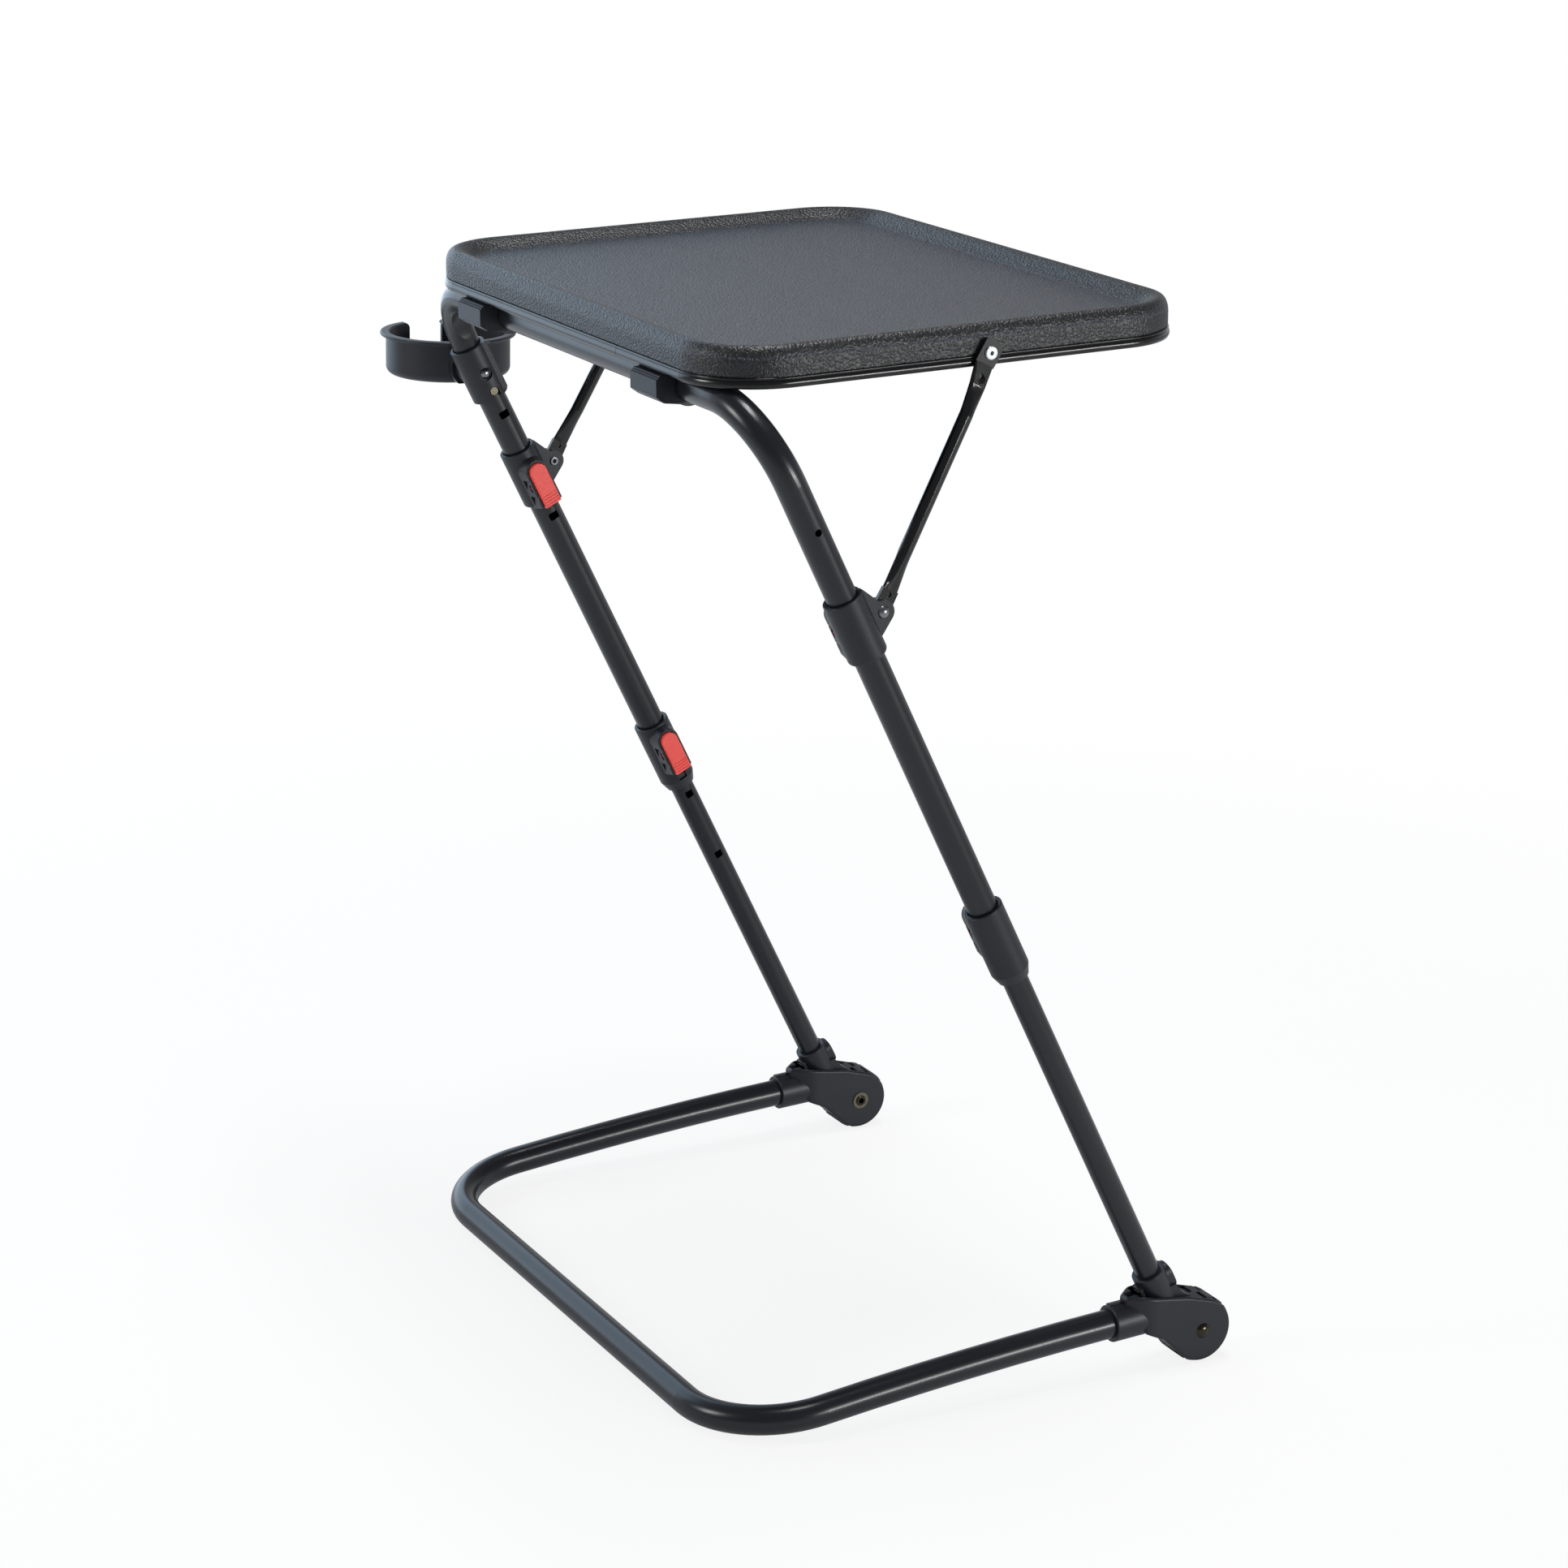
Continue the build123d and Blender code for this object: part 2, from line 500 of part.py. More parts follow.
def height_collar():
    sleeve = rod(COLLAR_R, (0, 0, HEIGHT_LOW), (0, 0, HEIGHT_TOP))
    sleeve = chamfer(sleeve.edges().sort_by(Axis.Z).first, 8.0, 2.8)
    sleeve = fillet(sleeve.edges().sort_by(Axis.Z).last, 0.8)
    collar = add_housing(sleeve, HEIGHT_BARREL_S)
    collar -= rod(TUBE_R + 0.02, (0, 0, UPPER_END), (0, 0, HEIGHT_TOP + 5))
    collar -= rod(TUBE_R + MOUTH_GAP, (0, 0, HEIGHT_TOP - MOUTH_DEPTH), (0, 0, HEIGHT_TOP + 5))
    collar -= rod(LOWER_R + COLLAR_FIT, (0, 0, HEIGHT_LOW - 5), (0, 0, UPPER_END + 1))
    collar = cut_pocket(collar, HEIGHT_BARREL_S)
    return collar - block((POCKET_X - 3.4, 30), (-3.8, 3.8), (HEIGHT_LOW + 9, HEIGHT_LOW + 16))


def tilt_collar():
    sleeve = rod(COLLAR_R, (0, 0, TILT_LOW), (0, 0, TILT_TOP))
    sleeve = fillet(sleeve.edges().group_by(Axis.Z)[-1], 0.8)
    sleeve = fillet(sleeve.edges().group_by(Axis.Z)[0], 2.2)
    collar = add_housing(sleeve, TILT_BARREL_S)
    nose = (Pos(EAR_N, EAR_S) * Circle(EAR_R)).edges()
    ear = make_hull(nose + Polyline((6, TILT_LOW + 5), (6, TILT_TOP - 9)).edges())
    ear += Polygon((6, TILT_TOP - 12), (22, TILT_TOP - 16), (14.2, TILT_TOP - 0.6), (6, TILT_TOP - 0.6),
                   align=None)
    collar += plate(ear, (-EAR_X, EAR_X))
    collar -= plate(Pos(EAR_N + 2, EAR_S) * Rectangle(22, 60), (-EAR_GAP, EAR_GAP))
    collar -= rod(2.52, (-20, EAR_N, EAR_S), (20, EAR_N, EAR_S))
    collar -= rod(TUBE_R + COLLAR_FIT, (0, 0, TILT_LOW - 5), (0, 0, TILT_TOP + 5))
    collar -= rod(TUBE_R + MOUTH_GAP, (0, 0, TILT_TOP - MOUTH_DEPTH), (0, 0, TILT_TOP + 5))
    return cut_pocket(collar, TILT_BARREL_S)


def clevis_rivet():
    shank = rod(2.5, (-EAR_X, EAR_N, EAR_S), (EAR_X, EAR_N, EAR_S))
    head = Pos(-EAR_X, EAR_N, EAR_S) * Rot(0, -90, 0) * dome(4.6, 2.4)
    rolled = rod(3.6, (EAR_X, EAR_N, EAR_S), (EAR_X + 1.2, EAR_N, EAR_S))
    rolled = fillet(rolled.edges().sort_by(Axis.X).last, 0.9)
    return shank + head + rolled - rod(1.7, (EAR_X - 4, EAR_N, EAR_S), (EAR_X + 5, EAR_N, EAR_S))


# Struts: a tube with flattened ends, from the clevis up to the tray's side
TRAY_PIVOT = ON_TRAY * Pos(0, STRUT_TRAY_Y, STRUT_TRAY_Z)
STRUT_TOP_N, STRUT_TOP_S = leg_place(TRAY_PIVOT.position.Y, TRAY_PIVOT.position.Z)
STRUT_LENGTH = math.hypot(STRUT_TOP_N - EAR_N, STRUT_TOP_S - EAR_S)
STRUT_LEAN = math.degrees(math.atan2(STRUT_TOP_N - EAR_N, STRUT_TOP_S - EAR_S))
ON_STRUT = ON_LEG * Pos(0, EAR_N, EAR_S) * Rot(-STRUT_LEAN, 0, 0)


def strut():
    half = STRUT_PLATE_HALF
    top = STRUT_LENGTH
    low_end = make_hull(Circle(7.0).edges() + Polyline((-6.5, 16), (6.5, 16)).edges())
    low_plate = plate(low_end, (-half, half))
    top_end = rounded_polygon([((-8.6, top - 9), 0), ((7.2, top - 9), 0), ((8.0, top + 5), 5.5), ((2.5, top + 9.4), 4),
                               ((-7.8, top + 8.4), 1.2)])
    top_plate = plate(top_end, (STRUT_PLATE_X - half, STRUT_PLATE_X + half))
    low_flat = Plane(origin=(0, 0, 15)) * RectangleRounded(2 * half - 0.2, 12.6, 1.3)
    tube_low = Plane(origin=(3.4, 0, 44)) * Circle(STRUT_R)
    tube_top = Plane(origin=(8.6, 0, top - 46)) * Circle(STRUT_R)
    neck = Plane(origin=(12.0, 0, top - 24)) * RectangleRounded(4.2, 13.0, 2.0)
    top_flat = Plane(origin=(STRUT_PLATE_X, -0.7, top - 8)) * RectangleRounded(2 * half - 0.2, 15.4, 1.3)
    body = low_plate + loft([low_flat, tube_low]) + loft([tube_low, tube_top])
    body += loft([tube_top, neck]) + loft([neck, top_flat]) + top_plate
    body -= rod(2.56, (-10, 0, 0), (10, 0, 0))
    body -= rod(2.02, (0, 0, top), (30, 0, top))
    dimple = top - 17.5
    body -= Pos(5.4, 0, dimple) * Sphere(7)
    body -= rod(2.0, (0, 0, dimple), (13.4, 0, dimple))
    return body - rod(2.0, (-10, 0, 12.5), (-0.4, 0, 12.5)) - rod(2.0, (0.4, 0, 12.5), (10, 0, 12.5))


def tray_rivet():
    """The strut's upper rivet. It stops just short of the tray's side, which closes the linkage."""
    plate_face = STRUT_PLATE_X - STRUT_PLATE_HALF
    shank = rod(2.0, (plate_face, 0, STRUT_LENGTH), (STRUT_PLATE_X + STRUT_PLATE_HALF, 0, STRUT_LENGTH))
    flange = rod(TRAY_RIVET_R, (plate_face - 1.4, 0, STRUT_LENGTH), (plate_face, 0, STRUT_LENGTH))
    flange = fillet(flange.edges().sort_by(Axis.X).first, 1.0)
    hollow = rod(1.5, (plate_face - 5, 0, STRUT_LENGTH), (plate_face + 2, 0, STRUT_LENGTH))
    return shank + flange - hollow


# Tray: rim swept round the floor's outline, with ribs and screw bosses underneath
def tray_ring(profile):
    """A profile swept round the tray; its points are (inwards from the edge, up)."""
    path = Pos(0, TRAY_LENGTH / 2) * RectangleRounded(TRAY_WIDTH - 2 * RIM_IN, TRAY_LENGTH - 2 * RIM_IN,
                                                     TRAY_CORNER_R - RIM_IN)
    wire = path.faces()[0].outer_wire()
    side = Plane(origin=(-TRAY_WIDTH / 2, TRAY_LENGTH / 2, 0), x_dir=(1, 0, 0), z_dir=(0, -1, 0))
    return sweep(side * profile, path=wire)


def rim_profile():
    """The tray's section from its edge to its floor, as a wall of even thickness."""
    skirt = TRIM_PROUD
    low = TRIM_Z + 0.9
    with BuildSketch() as section:
        with BuildLine():
            Polyline((skirt + 3.4, 1.5), (skirt + 1.3, 1.5), (skirt + 1.3, low), (skirt, low), (skirt, 17.0))
            Spline((skirt, 17.0), (CREST_IN, TRAY_HEIGHT), tangents=((0, 1), (1, 0)), tangent_scalars=(1.2, 1.2))
            Spline((CREST_IN, TRAY_HEIGHT), (RIM_IN, FLOOR_Z), tangents=((1, 0), (1, 0)), tangent_scalars=(0.9, 1.1))
            Polyline((RIM_IN, FLOOR_Z), (RIM_IN, FLOOR_Z - SHELL))
            Spline((RIM_IN, FLOOR_Z - SHELL), (CREST_IN + 0.6, TRAY_HEIGHT - SHELL), tangents=((-1, 0), (-1, 0)),
                   tangent_scalars=(1.1, 0.9))
            Spline((CREST_IN + 0.6, TRAY_HEIGHT - SHELL), (skirt + 3.4, 16.0), tangents=((-1, 0), (0, -1)),
                   tangent_scalars=(1.0, 1.0))
            Line((skirt + 3.4, 16.0), (skirt + 3.4, 1.5))
        make_face()
    return section.sketch


def tray_top():
    tray = tray_ring(rim_profile())
    floor = Pos(0, TRAY_LENGTH / 2, FLOOR_Z - SHELL) * RectangleRounded(
        TRAY_WIDTH - 2 * RIM_IN, TRAY_LENGTH - 2 * RIM_IN, TRAY_CORNER_R - RIM_IN)
    tray += extrude(floor, amount=SHELL)
    underside = FLOOR_Z - SHELL
    rib = (underside - 7.0, underside + 0.5)
    inside = TRAY_WIDTH / 2 - RIM_IN
    for x in (-160, -80, 0, 80, 160):
        tray += block((x - 1, x + 1), (62, TRAY_LENGTH - RIM_IN), rib)
    for y in (62, 140, 220, 300):
        tray += block((-inside, inside), (y - 1, y + 1), rib)
    for x in screw_places():
        boss = rod(4.0, (x, SCREW_Y, CLIP_FLANGE_Z), (x, SCREW_Y, underside + 0.5))
        tray += boss
        tray -= rod(1.5, (x, SCREW_Y, CLIP_FLANGE_Z - 1), (x, SCREW_Y, underside - 0.5))
    return tray


def screw_places():
    return [side * CLIP_X + step for side in (-1, 1) for step in (-12, 12)]


def edge_trim():
    """A channel with two beads, pushed onto the tray's lower edge and open at one butt seam."""
    flange = TRIM_PROUD + 1.3
    groove = (1.15, TRIM_Z - 1.9)
    with BuildSketch() as section:
        with BuildLine():
            Polyline((1.0, 0), (5.8, 0), (5.8, 4.5), (4.65, 4.5), (4.65, 1.45), (flange - 0.05, 1.45),
                     (flange - 0.05, TRIM_Z), (1.4, TRIM_Z))
            ThreePointArc((1.4, TRIM_Z), (0.55, TRIM_Z - 0.9), groove)
            ThreePointArc(groove, (0, 2.7), (1.0, 0))
        make_face()
    trim = tray_ring(section.sketch)
    return trim - block((SEAM_X - 0.25, SEAM_X + 0.25), (-5, 12), (-5, 15))


# Clips: saddles that turn on the upper frame's crossbar and are screwed under the tray
HINGE = FRAME.location * Pos(0, 0, CROSSBAR_S)
HINGE_ON_TRAY = (ON_TRAY.inverse() * HINGE).position


def crossbar_clip(x):
    y, z = HINGE_ON_TRAY.Y, HINGE_ON_TRAY.Z
    front = -4.9
    saddle = rod(14.4, (-CLIP_HALF, y, z), (CLIP_HALF, y, z))
    body = Polygon((front, -3.4), (front, -15.5), (front + 6, -20), (y - 7.5, z - 12.4), (y, z + 8), (y + 14.4, z),
                   (y + 14.4, CLIP_FLANGE_Z - 3), (SCREW_Y + 5, CLIP_FLANGE_Z - 3), (SCREW_Y + 5, CLIP_FLANGE_Z),
                   (8.5, CLIP_FLANGE_Z), (8.5, -0.8), (front + 2.4, -0.8), (front + 2.4, -2.1),
                   (front + 1.2, -2.1), (front + 1.2, -3.4), align=None)
    clip = saddle + plate(body, (-CLIP_HALF, CLIP_HALF))
    clip -= rod(TUBE_R + 0.06, (-40, y, z), (40, y, z))
    for slot in (-9, 9):
        clip -= block((slot - 4, slot + 4), (y - 9, y - 3), (z - 20, z - 8))
    for step in (-12, 12):
        clip -= rod(2.1, (step, SCREW_Y, -5), (step, SCREW_Y, 20))
    return Pos(x, 0, 0) * clip


def clip_screw(x):
    shank = rod(1.48, (x, SCREW_Y, CLIP_FLANGE_Z - 3), (x, SCREW_Y, FLOOR_Z - SHELL - 0.6))
    head = rod(3.6, (x, SCREW_Y, CLIP_FLANGE_Z - 5.2), (x, SCREW_Y, CLIP_FLANGE_Z - 3))
    return shank + fillet(head.edges().sort_by(Axis.Z).first, 0.8)


# Cup holder: a collar on the left leg and a ring cup that swivels on its outer face
def cup_collar():
    collar = rod(COLLAR_R, (0, 0, CUP_COLLAR_LOW), (0, 0, CUP_COLLAR_TOP))
    collar = fillet(collar.edges().group_by(Axis.Z)[-1], 0.8)
    back = block((-12.5, 12.2), (0, 12.4), (CUP_COLLAR_LOW + 3, CUP_COLLAR_TOP))
    collar += chamfer(back.edges().filter_by(Axis.Z).group_by(Axis.Y)[-1], 1.0)
    collar += rod(13.0, (SWIVEL_FACE_X, 0, CUP_SWIVEL_S), (0, 0, CUP_SWIVEL_S))
    collar -= rod(TUBE_R + 0.02, (0, 0, CUP_COLLAR_LOW - 5), (0, 0, CUP_COLLAR_TOP + 5))
    collar -= rod(TUBE_R + MOUTH_GAP, (0, 0, CUP_COLLAR_TOP - MOUTH_DEPTH), (0, 0, CUP_COLLAR_TOP + 5))
    collar -= rod(5.4, (TUBE_R + 1.2, 0, CUP_SWIVEL_S), (30, 0, CUP_SWIVEL_S))
    collar -= rod(2.6, (-30, 0, CUP_SWIVEL_S), (30, 0, CUP_SWIVEL_S))
    notch = rod(4.0, (5, 0, CUP_PIN_S), (30, 0, CUP_PIN_S))
    return collar - notch - block((5, 30), (-4.0, 4.0), (CUP_COLLAR_LOW - 5, CUP_PIN_S))


def cup_rivet():
    shank = rod(2.5, (CUP_RIVET_SEAT, 0, CUP_SWIVEL_S), (TUBE_R + 1.2, 0, CUP_SWIVEL_S))
    head = Pos(TUBE_R + 1.2, 0, CUP_SWIVEL_S) * Rot(0, 90, 0) * dome(4.4, 2.2)
    end = Pos(CUP_RIVET_SEAT, 0, CUP_SWIVEL_S) * Rot(0, -90, 0) * dome(4.4, 1.8)
    return shank + head + end


def cup_stop_pin():
    shank = rod(2.55, (TUBE_R - 3, 0, CUP_PIN_S), (TUBE_R, 0, CUP_PIN_S))
    head = rod(3.5, (TUBE_R - 0.6, 0, CUP_PIN_S), (TUBE_R + 2.4, 0, CUP_PIN_S))
    head = fillet(head.edges().sort_by(Axis.X).last, 0.5)
    return shank + head - rod(TUBE_R, (0, 0, CUP_PIN_S - 10), (0, 0, CUP_PIN_S + 10)) + shank


def cup_holder():
    height = CUP_RIM_Z - CUP_LOW_Z
    inner = CUP_R - CUP_WALL
    with BuildSketch(Plane.XZ) as section:
        with BuildLine():
            Polyline((0, CUP_WALL), (0, 0), (CUP_R - 6, 0))
            RadiusArc((CUP_R - 6, 0), (CUP_R, 6), -6)
            Line((CUP_R, 6), (CUP_R, height - 4.6))
            RadiusArc((CUP_R, height - 4.6), (CUP_R + 1.8, height - 2.8), 1.8)
            Line((CUP_R + 1.8, height - 2.8), (CUP_R + CUP_LIP - 1.4, height - 2.8))
            ThreePointArc((CUP_R + CUP_LIP - 1.4, height - 2.8), (CUP_R + CUP_LIP, height - 1.4),
                          (CUP_R + CUP_LIP - 1.4, height))
            Polyline((CUP_R + CUP_LIP - 1.4, height), (inner + 1, height), (inner, height - 1), (inner, CUP_WALL + 4))
            RadiusArc((inner, CUP_WALL + 4), (inner - 4, CUP_WALL), 4)
            Line((inner - 4, CUP_WALL), (0, CUP_WALL))
        make_face()
    cup = revolve(section.sketch, Axis.Z)
    half = CUP_GAP / 2
    gap = Pos(0, height) * RectangleRounded(CUP_GAP, 2 * (height - CUP_WALL), 3)
    for side in (-1, 1):
        shoulder = Pos(side * (half + 2.5), height - 2.5) * Rectangle(5, 5)
        gap += shoulder - Pos(side * (half + 5), height - 5) * Circle(5)
    cup -= plate(gap, (-CUP_R - 20, -CUP_R / 2))
    cup = Pos(CUP_X, CUP_Y, CUP_LOW_Z) * cup
    swivel = ON_LEG * Pos(0, 0, CUP_SWIVEL_S)
    y, z = swivel.position.Y, swivel.position.Z
    face = -LEG_X + SWIVEL_FACE_X - 0.3
    wall = CUP_X + inner
    disc = rod(SWIVEL_R, (wall - 10, y, z), (face, y, z)) & block((-400, 0), (-300, 300), (CUP_LOW_Z + 1, 800))
    disc -= Pos(CUP_X, CUP_Y, 600) * Cylinder(inner + 0.5, 200, align=(MID, MID, MIN))
    cup += disc
    cup -= block((face, 0), (-300, 300), (600, 800))
    cup -= rod(2.56, (wall - 12, y, z), (0, y, z))
    return cup - rod(4.9, (wall - 12, y, z), (-LEG_X + CUP_RIVET_SEAT + 0.02, y, z))


# Assembly: every left piece and its mirror image, then the pieces that come once
def pair(parts, name, place, left):
    solid = place * left
    parts[name + "_left"] = solid
    parts[name + "_right"] = mirror(solid, about=Plane.YZ)


def build():
    parts = {"base_tube": base_tube()}
    outer_shell, inner_shell = foot_shells()
    parts["foot_outer_shell_left"] = ON_FOOT * outer_shell
    parts["foot_inner_shell_left"] = ON_FOOT * inner_shell
    parts["foot_outer_shell_right"] = Pos(LEG_X, 0, 0) * inner_shell
    parts["foot_inner_shell_right"] = Pos(LEG_X, 0, 0) * outer_shell
    pair(parts, "wheel", ON_FOOT, wheel())
    pair(parts, "axle_rivet", ON_FOOT, axle())
    pair(parts, "axle_washer", ON_FOOT, axle_washer())
    pair(parts, "leg_pivot_pin", ON_FOOT, leg_pivot_pin())
    pair(parts, "leg_socket", ON_LEG, leg_socket())
    pair(parts, "lower_leg", ON_LEG, lower_leg())
    pair(parts, "leg_guide", ON_LEG, leg_guide())
    pair(parts, "leg_bolt", ON_LEG, leg_bolt())
    pair(parts, "leg_nut", ON_LEG, leg_nut())
    parts["upper_frame_tube"] = FRAME.location * upper_frame_tube()
    pair(parts, "height_collar", ON_LEG, height_collar())
    pair(parts, "height_lever", ON_LEG, lever(HEIGHT_BARREL_S))
    pair(parts, "height_spring", ON_LEG, lever_spring(HEIGHT_BARREL_S))
    pair(parts, "tilt_collar", ON_LEG, tilt_collar())
    pair(parts, "tilt_lever", ON_LEG, lever(TILT_BARREL_S))
    pair(parts, "tilt_spring", ON_LEG, lever_spring(TILT_BARREL_S))
    pair(parts, "clevis_rivet", ON_LEG, clevis_rivet())
    pair(parts, "strut", ON_STRUT, strut())
    pair(parts, "tray_rivet", ON_STRUT, tray_rivet())
    parts["tray_top"] = ON_TRAY * tray_top()
    parts["edge_trim"] = ON_TRAY * edge_trim()
    parts["crossbar_clip_left"] = ON_TRAY * crossbar_clip(-CLIP_X)
    parts["crossbar_clip_right"] = ON_TRAY * crossbar_clip(CLIP_X)
    parts["clip_screws"] = ON_TRAY * Compound(children=[clip_screw(x) for x in screw_places()])
    parts["cup_collar"] = ON_LEG * cup_collar()
    parts["cup_rivet"] = ON_LEG * cup_rivet()
    parts["cup_stop_pin"] = ON_LEG * cup_stop_pin()
    parts["cup_holder"] = cup_holder()
    return parts


os.makedirs("parts", exist_ok=True)
to_origin = Pos(-CENTRE_X, -CENTRE_Y, 0)
for name, solid in build().items():
    moved = to_origin * solid
    moved.label = name
    export_step(moved, f"parts/{name}.step")
    print(name, len(moved.solids()), round(moved.volume / 1000, 2), "cm3")
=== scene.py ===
# %% [markdown]
# # A folding tray table, dressed in Blender
# The real thing is a light sofa table: steel tubes painted black, collars and feet moulded in a
# dark plastic, a grained plastic tray, and a few coral red levers. The shapes come from the CAD
# model, because every tube and collar has a real size there. What is left for Blender is what the
# eye reads as material: paint, moulded grain, gloss, and the light that shows them.

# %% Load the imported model
import json
import math
import bpy
from mathutils import Matrix, Vector

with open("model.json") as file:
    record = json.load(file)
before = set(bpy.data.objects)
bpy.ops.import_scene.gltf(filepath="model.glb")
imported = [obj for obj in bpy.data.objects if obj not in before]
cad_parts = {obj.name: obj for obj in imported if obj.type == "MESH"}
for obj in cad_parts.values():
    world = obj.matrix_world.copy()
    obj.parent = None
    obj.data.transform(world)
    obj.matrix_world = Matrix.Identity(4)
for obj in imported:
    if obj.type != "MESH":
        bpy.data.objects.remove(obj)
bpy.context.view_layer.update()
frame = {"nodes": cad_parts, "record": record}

nodes = frame["nodes"]
record = frame["record"]

# %% [markdown]
# ## Colours, sizes and nodes
# A colour that we pick from a screen is an sRGB value, but Blender's shaders count light, which is
# linear. One function turns a hex colour into linear numbers, so that every colour in this file
# can be read as the colour it shows. Sizes are given in millimetres, while Blender counts metres, so
# two short functions go between them. Another adds a shader node, fills in its values and joins its
# links. With it, each material below reads like a short list.

# %% Helpers for colours, sizes and nodes
# A Mix node has two inputs and an output for each kind of data. These are the ones for colours.
COLOUR_A = 6
COLOUR_B = 7
MIXED_COLOUR = 2


def linear(hex_colour):
    """An sRGB hex colour as linear red, green, blue and alpha."""
    levels = [int(hex_colour[start:start + 2], 16) / 255 for start in (1, 3, 5)]
    light = [level / 12.92 if level <= 0.04045 else ((level + 0.055) / 1.055) ** 2.4 for level in levels]
    return light + [1.0]


def metres(size_mm):
    """A size in millimetres as Blender's metres."""
    return size_mm / 1000.0


def per_metre(size_mm):
    """The texture scale at which one cell of a pattern is that many millimetres wide."""
    return 1000.0 / size_mm


def add_node(tree, kind, values=None, links=None, **settings):
    """Adds a node: values and links go to its inputs by name or number, settings to the node itself."""
    node = tree.nodes.new(kind)
    for name, value in settings.items():
        setattr(node, name, value)
    for key, value in (values or {}).items():
        node.inputs[key].default_value = value
    for key, socket in (links or {}).items():
        tree.links.new(socket, node.inputs[key])
    return node


print("a screen's middle grey as linear light", [round(level, 4) for level in linear("#808080")])

# %% [markdown]
# ## Starting a material
# Every finish here starts from Blender's Principled shader, which covers paint, plastic and metal. A
# new material gets its plain colour and roughness first. Patterns come next, and feed takes them to
# the shader, where they replace the plain value. Patterns are laid out in object coordinates, which
# are metres on this table, so that a pattern's size is a real size and needs no unwrapping.

# %% Helpers for materials


def new_material(name, colour, roughness, **shader_values):
    """A Principled material with its plain values. Returns it, its tree, its shader and its coordinates."""
    material = bpy.data.materials.new(name)
    material.use_nodes = True
    tree = material.node_tree
    shader = tree.nodes["Principled BSDF"]
    shader.inputs["Base Color"].default_value = linear(colour)
    shader.inputs["Roughness"].default_value = roughness
    for key, value in shader_values.items():
        shader.inputs[key.replace("_", " ")].default_value = value
    place = add_node(tree, "ShaderNodeTexCoord").outputs["Object"]
    return material, tree, shader, place


def feed(tree, shader, **sockets):
    """Takes patterns to the shader's inputs. An underscore in a name stands for a space."""
    for key, socket in sockets.items():
        tree.links.new(socket, shader.inputs[key.replace("_", " ")])


print("helpers ready", new_material.__name__, feed.__name__)

# %% [markdown]
# ## Satin black paint on the steel tubes
# The tubes are drawn steel, sprayed with a black powder paint and baked. Such paint flows a little
# before it sets, so it has a faint waviness that painters call orange peel: a reflection in it is
# clear, but its edge is soft. We could model that as real bumps, but they are a hundredth of a
# millimetre high, so a faint bump and an uneven roughness do it. The waves are about 2.5 mm apart.

# %% Satin black powder paint
PEEL_MM = 2.5
PEEL_DEPTH_MM = 0.2
PEEL_STRENGTH = 0.01
SHEEN_PATCH_MM = 38.0

satin_paint, tree, shader, place = new_material(
    "powder_painted_steel_satin_black", "#16171c", 0.28, IOR=1.43)
peel = add_node(tree, "ShaderNodeTexNoise",
                {"Scale": per_metre(PEEL_MM), "Detail": 2.0, "Roughness": 0.45}, {"Vector": place})
sheen_patches = add_node(tree, "ShaderNodeTexNoise", {"Scale": per_metre(SHEEN_PATCH_MM), "Detail": 3.0},
                         {"Vector": place})
gloss = add_node(tree, "ShaderNodeMapRange", {"To Min": 0.26, "To Max": 0.3},
                 {"Value": sheen_patches.outputs["Fac"]})
bump = add_node(tree, "ShaderNodeBump", {"Strength": PEEL_STRENGTH, "Distance": metres(PEEL_DEPTH_MM)},
                {"Height": peel.outputs["Fac"]})
feed(tree, shader, Roughness=gloss.outputs["Result"], Normal=bump.outputs["Normal"])
print("made", satin_paint.name, "with a peel of", PEEL_MM, "mm")

# %% [markdown]
# ## Gloss black paint on the struts
# The two struts under the tray have a harder, shinier paint: the photograph shows one thin white
# line along each of them. It is the same kind of paint with less roughness and almost no peel.

# %% Gloss black enamel
ENAMEL_PEEL_MM = 4.0
ENAMEL_PEEL_DEPTH_MM = 0.2
ENAMEL_PEEL_STRENGTH = 0.02

gloss_paint, tree, shader, place = new_material("gloss_enamel_black", "#0b0b0d", 0.12)
peel = add_node(tree, "ShaderNodeTexNoise", {"Scale": per_metre(ENAMEL_PEEL_MM), "Detail": 2.0},
                {"Vector": place})
bump = add_node(tree, "ShaderNodeBump",
                {"Strength": ENAMEL_PEEL_STRENGTH, "Distance": metres(ENAMEL_PEEL_DEPTH_MM)},
                {"Height": peel.outputs["Fac"]})
feed(tree, shader, Normal=bump.outputs["Normal"])
print("made", gloss_paint.name, "with a peel of", ENAMEL_PEEL_MM, "mm")

# %% [markdown]
# ## Charcoal polypropylene mouldings
# Feet, collars, clips and cup holder are injection moulded. The steel mould was textured by spark
# erosion, which leaves a fine sandy surface on the plastic: it scatters light, so the parts look a
# little paler than the tubes. The real grit is about 0.3 mm. In a picture where one pixel is about
# a millimetre it would vanish, so it is drawn at 0.9 mm. A slow cloud in the colour stands for the
# flow of the plastic in the mould.

# %% Spark-eroded polypropylene
GRIT_MM = 0.9
GRIT_DEPTH_MM = 0.3
GRIT_STRENGTH = 0.22
FLOW_CLOUD_MM = 22.0

